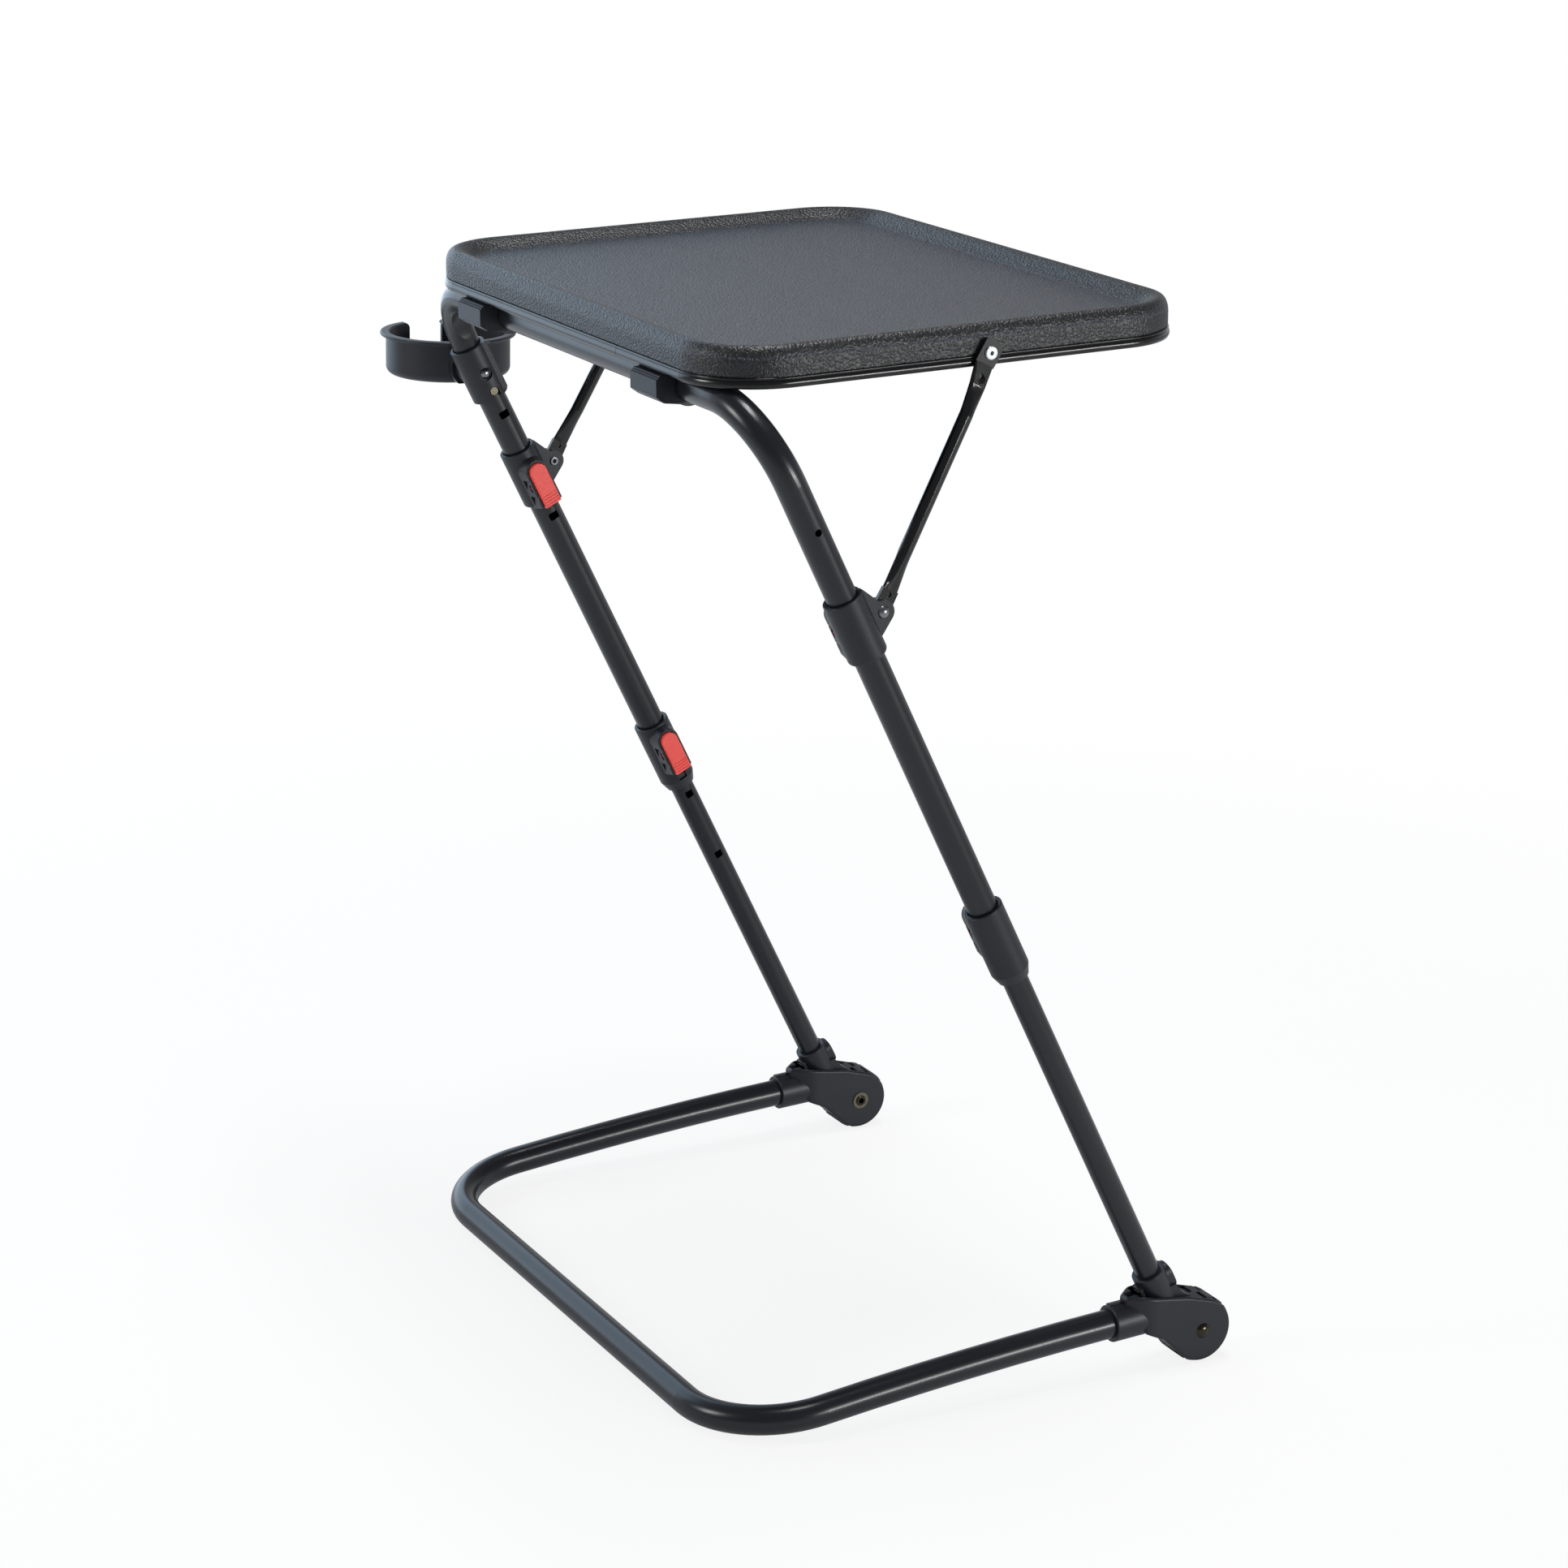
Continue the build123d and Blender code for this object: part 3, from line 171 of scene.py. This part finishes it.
charcoal_plastic, tree, shader, place = new_material(
    "moulded_polypropylene_charcoal", "#15181f", 0.42, Specular_IOR_Level=0.36)
grit = add_node(tree, "ShaderNodeTexNoise",
                {"Scale": per_metre(GRIT_MM), "Detail": 2.0, "Roughness": 0.6}, {"Vector": place})
cloud = add_node(tree, "ShaderNodeTexNoise", {"Scale": per_metre(FLOW_CLOUD_MM), "Detail": 3.0},
                 {"Vector": place})
tone = add_node(tree, "ShaderNodeMix", {COLOUR_A: linear("#12151b"), COLOUR_B: linear("#181b22")},
                {"Factor": cloud.outputs["Fac"]}, data_type="RGBA")
bump = add_node(tree, "ShaderNodeBump", {"Strength": GRIT_STRENGTH, "Distance": metres(GRIT_DEPTH_MM)},
                {"Height": grit.outputs["Fac"]})
feed(tree, shader, Base_Color=tone.outputs[MIXED_COLOUR], Normal=bump.outputs["Normal"])
print("made", charcoal_plastic.name, "with a grit of", GRIT_MM, "mm")

# %% [markdown]
# ## The tray: floor or rim
# The tray is one moulding with a leather-like grain etched into its mould, so that plates don't
# slide and scratches don't show. On the flat floor the grain is shallow and reads as a soft grey. The
# rim is the same plastic, but its colour is painted darker than the floor's, as painted shade, and
# each small dome catches its own spark of light. So the finish has to know which of the two a point
# belongs to. The direction of the surface would tell on the steep side of the rim, but not on its
# rounded top, so the height over the floor is used. It is measured square to the tray, which stands
# slightly tilted. The CAD record holds where the floor is and which way it faces, as a place for
# things to stand on.

# %% Grained ABS, floor or rim
RIM_STARTS_MM = 0.4
RIM_COMPLETE_MM = 1.6
tray_floor = next(mount for mount in record["mounts"] if mount["name"] == "tray_floor")
tray_up = Vector(tray_floor["axis"])
floor_level = tray_up.dot(Vector(tray_floor["pos_m"]))

grained_plastic, tree, shader, place = new_material("grained_abs_slate", "#2b2d32", 0.4)
height = add_node(tree, "ShaderNodeVectorMath", {1: tray_up}, {0: place}, operation="DOT_PRODUCT")
off_floor = add_node(tree, "ShaderNodeMath", {1: floor_level}, {0: height.outputs["Value"]},
                     operation="SUBTRACT")
distance = add_node(tree, "ShaderNodeMath", None, {0: off_floor.outputs[0]}, operation="ABSOLUTE")
rim_share = add_node(tree, "ShaderNodeMapRange",
                     {"From Min": metres(RIM_STARTS_MM), "From Max": metres(RIM_COMPLETE_MM)},
                     {"Value": distance.outputs[0]}, interpolation_type="SMOOTHSTEP").outputs["Result"]
floor_share = add_node(tree, "ShaderNodeMath", {0: 1.0}, {1: rim_share}, operation="SUBTRACT").outputs[0]
print("started", grained_plastic.name, "with the tray's floor at", round(floor_level, 4), "m")

# %% [markdown]
# ## The tray: pebbles
# A Voronoi texture makes the domes of the grain: each cell is one pebble, high in the middle. Real
# pebbles are about 0.6 mm wide on the floor and 1.2 mm on the rim. In a picture where one pixel is
# nearly a millimetre the floor's would vanish, so they are drawn at 1.4 mm, and the rim's at 1.6 mm.
# A noise bends the pattern first, because etched leather grain is never as regular as cells are.

# %% Grained ABS, pebbles
FLOOR_PEBBLE_MM = 1.4
RIM_PEBBLE_MM = 1.6
DOME_REACH = 0.75
WARP_MM = 5.0
WARP_REACH_MM = 1.4

warp = add_node(tree, "ShaderNodeTexNoise", {"Scale": per_metre(WARP_MM), "Detail": 2.0},
                {"Vector": place})
moved = add_node(tree, "ShaderNodeVectorMath", {1: [metres(WARP_REACH_MM)] * 3},
                 {0: warp.outputs["Color"]}, operation="MULTIPLY")
bent = add_node(tree, "ShaderNodeVectorMath", None, {0: place, 1: moved.outputs[0]}, operation="ADD")
domes = []
for pebble_mm in (FLOOR_PEBBLE_MM, RIM_PEBBLE_MM):
    pebbles = add_node(tree, "ShaderNodeTexVoronoi", {"Scale": per_metre(pebble_mm), "Randomness": 0.95},
                       {"Vector": bent.outputs[0]}, feature="SMOOTH_F1")
    dome = add_node(tree, "ShaderNodeMapRange", {"From Max": DOME_REACH, "To Min": 1.0, "To Max": 0.0},
                    {"Value": pebbles.outputs["Distance"]}, interpolation_type="SMOOTHSTEP")
    domes.append(dome.outputs["Result"])
floor_dome, rim_dome = domes
print("pebbles of", FLOOR_PEBBLE_MM, "mm on the floor and", RIM_PEBBLE_MM, "mm on the rim")

# %% [markdown]
# ## The tray: light and shade on the pebbles
# Light hardly reaches the grooves between pebbles, so the colour goes from nearly black in a groove to
# paler on a dome: that is painted shade. The rim's colours are painted darker than the floor's, as
# painted shade on the same plastic. The bump adds the spark on each dome. The floor's bump fades out
# where the rim starts and the rim's fades in, so that neither pattern shows on the other's ground.

# %% Grained ABS, tones with painted shade, and bumps
FLOOR_PEBBLE_DEPTH_MM = 0.7
RIM_PEBBLE_DEPTH_MM = 0.4

# Painted shade: the floor's colour goes nearly black in the grooves and paler on the domes.
floor_tone_and_groove_shade = add_node(tree, "ShaderNodeMix", {COLOUR_A: linear("#05070c"), COLOUR_B: linear("#333845")},
                      {"Factor": floor_dome}, data_type="RGBA").outputs[MIXED_COLOUR]
# Painted shade: the rim's colours are darker than the floor's on the same plastic, and near black in its
# grooves.
rim_tone_and_painted_shade = add_node(tree, "ShaderNodeMix", {COLOUR_A: linear("#08090b"), COLOUR_B: linear("#12141a")},
                    {"Factor": rim_dome}, data_type="RGBA").outputs[MIXED_COLOUR]
tone = add_node(tree, "ShaderNodeMix", None,
                {"Factor": rim_share, COLOUR_A: floor_tone_and_groove_shade, COLOUR_B: rim_tone_and_painted_shade}, data_type="RGBA")
gloss = add_node(tree, "ShaderNodeMapRange", {"To Min": 0.42, "To Max": 0.44}, {"Value": rim_share})
floor_bump = add_node(tree, "ShaderNodeBump", {"Distance": metres(FLOOR_PEBBLE_DEPTH_MM)},
                      {"Strength": floor_share, "Height": floor_dome})
rim_bump = add_node(tree, "ShaderNodeBump", {"Distance": metres(RIM_PEBBLE_DEPTH_MM)},
                    {"Strength": rim_share, "Height": rim_dome, "Normal": floor_bump.outputs["Normal"]})
feed(tree, shader, Base_Color=tone.outputs[MIXED_COLOUR], Roughness=gloss.outputs["Result"],
     Normal=rim_bump.outputs["Normal"])
print("made", grained_plastic.name)

# %% [markdown]
# ## The edge strip
# Round the tray's lower edge runs an extruded strip of soft PVC. Extruding pushes it through a
# polished die, so it is smooth and shiny, and only its gloss drifts a little along the way.

# %% Extruded PVC
GLOSS_DRIFT_MM = 14.0

edge_strip, tree, shader, place = new_material("extruded_pvc_black", "#0c0c0e", 0.2, IOR=1.43)
drift = add_node(tree, "ShaderNodeTexNoise", {"Scale": per_metre(GLOSS_DRIFT_MM), "Detail": 2.0},
                 {"Vector": place})
gloss = add_node(tree, "ShaderNodeMapRange", {"To Min": 0.16, "To Max": 0.26},
                 {"Value": drift.outputs["Fac"]})
feed(tree, shader, Roughness=gloss.outputs["Result"])
print("made", edge_strip.name)

# %% [markdown]
# ## Coral red levers
# The levers are the only colour on the table. They are moulded in acetal, a hard and waxy plastic
# that springs back, which is why it is used for latches. It comes almost smooth from the mould, and
# thumbs rub it a little shinier here and there. So the red is nearly even, the gloss changes from
# place to place, and the bump is only a trace.

# %% Coral acetal
RUBBED_PATCH_MM = 7.0
ACETAL_GRIT_MM = 1.2
ACETAL_GRIT_DEPTH_MM = 0.2
ACETAL_GRIT_STRENGTH = 0.04

coral_plastic, tree, shader, place = new_material("moulded_acetal_coral", "#ea483f", 0.42)
rubbed = add_node(tree, "ShaderNodeTexNoise", {"Scale": per_metre(RUBBED_PATCH_MM), "Detail": 3.0},
                  {"Vector": place})
tone = add_node(tree, "ShaderNodeMix", {COLOUR_A: linear("#e4433a"), COLOUR_B: linear("#f04d44")},
                {"Factor": rubbed.outputs["Fac"]}, data_type="RGBA")
gloss = add_node(tree, "ShaderNodeMapRange", {"To Min": 0.36, "To Max": 0.48},
                 {"Value": rubbed.outputs["Fac"]})
grit = add_node(tree, "ShaderNodeTexNoise", {"Scale": per_metre(ACETAL_GRIT_MM), "Detail": 2.0},
                {"Vector": place})
bump = add_node(tree, "ShaderNodeBump",
                {"Strength": ACETAL_GRIT_STRENGTH, "Distance": metres(ACETAL_GRIT_DEPTH_MM)},
                {"Height": grit.outputs["Fac"]})
feed(tree, shader, Base_Color=tone.outputs[MIXED_COLOUR], Roughness=gloss.outputs["Result"],
     Normal=bump.outputs["Normal"])
print("made", coral_plastic.name)

# %% [markdown]
# ## Rubber of the wheels
# The small wheels have a knobbly tread of hard rubber. Rubber is matt and takes dust, so its colour
# is a little uneven and its roughness high.

# %% Hard rubber
DUST_PATCH_MM = 6.0

wheel_rubber, tree, shader, place = new_material("hard_rubber_black", "#161617", 0.6)
dust = add_node(tree, "ShaderNodeTexNoise", {"Scale": per_metre(DUST_PATCH_MM), "Detail": 4.0},
                {"Vector": place})
tone = add_node(tree, "ShaderNodeMix", {COLOUR_A: linear("#131315"), COLOUR_B: linear("#1e1e1f")},
                {"Factor": dust.outputs["Fac"]}, data_type="RGBA")
feed(tree, shader, Base_Color=tone.outputs[MIXED_COLOUR])
print("made", wheel_rubber.name)

# %% [markdown]
# ## Bright zinc on steel
# The tray rivets, the leg pins and the lever springs are steel with a thin coat of zinc. Zinc grows in
# small crystals, so it never reflects quite evenly: each cell of a Voronoi texture gets its own run of
# gloss. Real crystals are far too fine to show, so they are drawn 1.5 mm wide.

# %% Zinc plated steel
CRYSTAL_MM = 1.5

zinc, tree, shader, place = new_material("zinc_plated_steel", "#a9abad", 0.3, Metallic=1.0)
crystals = add_node(tree, "ShaderNodeTexVoronoi", {"Scale": per_metre(CRYSTAL_MM)}, {"Vector": place})
gloss = add_node(tree, "ShaderNodeMapRange", {"To Min": 0.24, "To Max": 0.42},
                 {"Value": crystals.outputs["Distance"]})
feed(tree, shader, Roughness=gloss.outputs["Result"])
print("made", zinc.name)

# %% [markdown]
# ## Oil blackened steel
# The bolts, nuts, clip screws and axle rivets were blackened in hot oil. That leaves a dark metal
# with a brown cast, and the oil dries in patches, some glossier than others.

# %% Oil blackened steel
OIL_PATCH_MM = 3.0

dark_steel, tree, shader, place = new_material("oil_blackened_steel", "#3a372d", 0.2, Metallic=1.0)
oil = add_node(tree, "ShaderNodeTexNoise", {"Scale": per_metre(OIL_PATCH_MM), "Detail": 3.0},
               {"Vector": place})
gloss = add_node(tree, "ShaderNodeMapRange", {"To Min": 0.14, "To Max": 0.3},
                 {"Value": oil.outputs["Fac"]})
feed(tree, shader, Roughness=gloss.outputs["Result"])
print("made", dark_steel.name)

# %% [markdown]
# ## Yellowed zinc
# The cup's stop pin and the axle washers have an older zinc that has yellowed in stains. Here the
# colour changes from place to place, and the gloss stays.

# %% Yellowed zinc on steel
STAIN_MM = 1.4

dull_zinc, tree, shader, place = new_material("yellowed_zinc_on_steel", "#615d50", 0.42, Metallic=1.0)
stains = add_node(tree, "ShaderNodeTexNoise", {"Scale": per_metre(STAIN_MM), "Detail": 3.0},
                  {"Vector": place})
tone = add_node(tree, "ShaderNodeMix", {COLOUR_A: linear("#4b483d"), COLOUR_B: linear("#777264")},
                {"Factor": stains.outputs["Fac"]}, data_type="RGBA")
feed(tree, shader, Base_Color=tone.outputs[MIXED_COLOUR])
print("made", dull_zinc.name)

# %% [markdown]
# ## Bare steel rivets
# The rivets of the clevises and of the cup are bare steel. Setting them and handling them rubs the
# steel to an uneven gloss.

# %% Bare rivet steel
RUBBED_STEEL_MM = 2.0

grey_steel, tree, shader, place = new_material("bare_rivet_steel", "#7b7d80", 0.24, Metallic=1.0)
rubbed = add_node(tree, "ShaderNodeTexNoise", {"Scale": per_metre(RUBBED_STEEL_MM), "Detail": 3.0},
                  {"Vector": place})
gloss = add_node(tree, "ShaderNodeMapRange", {"To Min": 0.16, "To Max": 0.34},
                 {"Value": rubbed.outputs["Fac"]})
feed(tree, shader, Roughness=gloss.outputs["Result"])
print("made", grey_steel.name)

# %% [markdown]
# ## Giving each piece its finish
# The CAD record already says which finish every piece has, by the name of a slot. We only have to
# say which Blender material stands for each slot, and then walk through the pieces. A few small
# metal pieces look different from the rest of their slot, so they are named one by one.

# %% Assign the materials
finish_of_slot = {
    "satin_black_tube": satin_paint,
    "gloss_black_strut": gloss_paint,
    "charcoal_moulding": charcoal_plastic,
    "grey_tray_moulding": grained_plastic,
    "dark_edge_strip": edge_strip,
    "coral_lever": coral_plastic,
    "black_wheel": wheel_rubber,
    "bright_zinc": zinc,
    "dark_steel": dark_steel,
}
finish_of_node = {
    "clevis_rivet_left": grey_steel,
    "clevis_rivet_right": grey_steel,
    "cup_rivet": grey_steel,
    "cup_stop_pin": dull_zinc,
    "axle_washer_left": dull_zinc,
    "axle_washer_right": dull_zinc,
}
for piece in record["subparts"]:
    mesh = nodes[piece["node"]].data
    mesh.materials.clear()
    mesh.materials.append(finish_of_node.get(piece["node"], finish_of_slot[piece["material_slot"]]))
print("dressed", len(record["subparts"]), "pieces")

# %% [markdown]
# ## Camera
# The camera stands where the photographer stood: to the right of the table's front, half a metre
# above the tray, three metres away with a long lens. A long lens keeps the legs nearly parallel. The
# place was found by matching the tubes' lines in the photograph.

# %% Camera
TURN = math.radians(61.38)
RAISE = math.radians(16.72)
ROLL = math.radians(1.25)
AWAY = 3.0697
LOOK_AT = Vector((0.05017, -0.02348, 0.4069))
LENS_MM = 92.5
SENSOR_MM = 36.0
SEES_AS_FAR_AS = 200.0

back = Vector((math.sin(TURN) * math.cos(RAISE), -math.cos(TURN) * math.cos(RAISE), math.sin(RAISE)))
right = Vector((math.cos(TURN), math.sin(TURN), 0.0))
up = back.cross(right)
across = right * math.cos(ROLL) + up * math.sin(ROLL)
upright = up * math.cos(ROLL) - right * math.sin(ROLL)
turned = Matrix((across, upright, back)).transposed().to_4x4()
camera = bpy.data.objects.new("camera", bpy.data.cameras.new("camera"))
camera.data.lens = LENS_MM
camera.data.sensor_width = SENSOR_MM
camera.data.clip_end = SEES_AS_FAR_AS
camera.matrix_world = Matrix.Translation(LOOK_AT + back * AWAY) @ turned
bpy.context.scene.collection.objects.link(camera)
bpy.context.scene.camera = camera
print("camera at", [round(value, 3) for value in camera.location])

# %% [markdown]
# ## White floor
# The photograph has a pure white ground. If we reached that with strong lamps, the black paint would
# turn grey. So the floor glows white to the camera, and keeps some of its plain matt self near the
# table, where the table's shadow falls. Mirrored in the paint it shows a quarter of that glow, and to
# the light that bounces on to the table it is only a white matt floor.

# %% Floor
FLOOR_SIZE = 60.0
GLOW_NEAR = 0.85
GLOW_FAR = 1.0
GLOW_NEAR_ENDS = 0.7
GLOW_FAR_STARTS = 1.8
MIRRORED_GLOW = 0.25

bpy.ops.mesh.primitive_plane_add(size=FLOOR_SIZE, location=(0.0, 0.0, 0.0))
floor = bpy.context.object
floor.name = "floor"
white_floor = bpy.data.materials.new("white_studio_floor")
white_floor.use_nodes = True
tree = white_floor.node_tree
tree.nodes.clear()
rays = add_node(tree, "ShaderNodeLightPath").outputs
mirrored = add_node(tree, "ShaderNodeMath", None,
                    {0: rays["Is Glossy Ray"], 1: rays["Is Transmission Ray"]}, operation="MAXIMUM")
dimmed = add_node(tree, "ShaderNodeMath", {1: MIRRORED_GLOW}, {0: mirrored.outputs[0]},
                  operation="MULTIPLY")
seen = add_node(tree, "ShaderNodeMath", None, {0: rays["Is Camera Ray"], 1: dimmed.outputs[0]},
                operation="MAXIMUM")
place = add_node(tree, "ShaderNodeTexCoord").outputs["Object"]
distance = add_node(tree, "ShaderNodeVectorMath", None, {0: place}, operation="LENGTH")
glow_share = add_node(tree, "ShaderNodeMapRange",
                      {"From Min": GLOW_NEAR_ENDS, "From Max": GLOW_FAR_STARTS,
                       "To Min": GLOW_NEAR, "To Max": GLOW_FAR},
                      {"Value": distance.outputs["Value"]}, interpolation_type="SMOOTHSTEP")
share = add_node(tree, "ShaderNodeMath", None, {0: seen.outputs[0], 1: glow_share.outputs["Result"]},
                 operation="MULTIPLY")
matt = add_node(tree, "ShaderNodeBsdfDiffuse", {"Color": linear("#e7e7e7")})
glow = add_node(tree, "ShaderNodeEmission", {"Color": linear("#ffffff"), "Strength": 1.0})
mixed = add_node(tree, "ShaderNodeMixShader", None,
                 {0: share.outputs[0], 1: matt.outputs[0], 2: glow.outputs[0]})
add_node(tree, "ShaderNodeOutputMaterial", None, {"Surface": mixed.outputs[0]})
floor.data.materials.append(white_floor)
print("floor glow", GLOW_NEAR, "to", GLOW_FAR, "and mirrored", MIRRORED_GLOW)

# %% [markdown]
# ## The room in the reflections
# Past the floor the camera sees white as well. But the paint mirrors a studio: a pale backdrop behind
# the table, a dim room on the camera's side and a dark ceiling. That room is what makes black paint
# look black, because a tube mirrors whatever stands round it. The world's shader works it out from
# the direction of a ray: how far it points to the backdrop, and how far it points up.

# %% World
BACKDROP = 0.85
ROOM = 0.26
CEILING = 0.22
TO_BACKDROP = (-0.88, 0.48, 0.0)
ROOM_ENDS = -0.3
BACKDROP_STARTS = 0.6
WALL_ENDS = 0.12
CEILING_STARTS = 0.5

world = bpy.data.worlds.new("white_room")
bpy.context.scene.world = world
world.use_nodes = True
tree = world.node_tree
tree.nodes.clear()
toward = add_node(tree, "ShaderNodeTexCoord").outputs["Generated"]
direction = add_node(tree, "ShaderNodeSeparateXYZ", None, {"Vector": toward})
around = add_node(tree, "ShaderNodeVectorMath", {1: TO_BACKDROP}, {0: toward}, operation="DOT_PRODUCT")
wall = add_node(tree, "ShaderNodeMapRange",
                {"From Min": ROOM_ENDS, "From Max": BACKDROP_STARTS, "To Min": ROOM, "To Max": BACKDROP},
                {"Value": around.outputs["Value"]}, interpolation_type="SMOOTHSTEP")
overhead = add_node(tree, "ShaderNodeMapRange", {"From Min": WALL_ENDS, "From Max": CEILING_STARTS},
                    {"Value": direction.outputs["Z"]}, interpolation_type="SMOOTHSTEP")
level = add_node(tree, "ShaderNodeMix", {"B": CEILING},
                 {"Factor": overhead.outputs["Result"], "A": wall.outputs["Result"]}, data_type="FLOAT")
room = add_node(tree, "ShaderNodeBackground", {"Color": linear("#f9fcff")}, {"Strength": level.outputs[0]})
white = add_node(tree, "ShaderNodeBackground", {"Color": linear("#ffffff"), "Strength": 1.0})
rays = add_node(tree, "ShaderNodeLightPath").outputs
sky = add_node(tree, "ShaderNodeMixShader", None,
               {0: rays["Is Camera Ray"], 1: room.outputs[0], 2: white.outputs[0]})
add_node(tree, "ShaderNodeOutputWorld", None, {"Surface": sky.outputs[0]})
print("backdrop", BACKDROP, "room", ROOM, "ceiling", CEILING)

# %% [markdown]
# ## Studio lamps
# In the photograph the tray's front edge is the brightest and a little blue, so the main soft box
# stands on the left and has a cool tint. A small box in front draws the light line on the struts. A
# long one overhead makes the soft highlights on the upper bends, and a low strip far off on the right
# makes the white streak along the base rails. Each place follows from the mirror rule: where a streak
# lies on a round tube says in which direction the tube mirrors there, and so where the lamp stood.

# %% Lamps
COOL = "#cbe6ff"
NEUTRAL = "#ffffff"
TABLE_MIDDLE = Vector((0.0, 0.0, 0.45))

# Each lamp's place and size are in metres. Its power in watts and its tint follow.
lamps = {
    "left_box": ((-2.7, -0.7, 1.35), (3.2, 2.6), 54.0, COOL),
    "front_box": ((-0.4, -3.0, 1.6), (0.8, 0.9), 36.0, NEUTRAL),
    "top_box": ((0.1, 0.2, 3.0), (1.4, 0.5), 48.0, NEUTRAL),
    "right_strip": ((5.0, 2.6, 1.1), (2.6, 0.6), 170.0, NEUTRAL),
}
for name, (stand, size, watts, tint) in lamps.items():
    light = bpy.data.lights.new(name, "AREA")
    light.shape = "RECTANGLE"
    light.size, light.size_y = size
    light.energy = watts
    light.color = linear(tint)[:3]
    lamp = bpy.data.objects.new(name, light)
    lamp.location = stand
    lamp.rotation_euler = (TABLE_MIDDLE - lamp.location).to_track_quat("-Z", "Y").to_euler()
    bpy.context.scene.collection.objects.link(lamp)
bpy.context.scene.view_settings.view_transform = "Standard"
print("lamps", sorted(lamps))
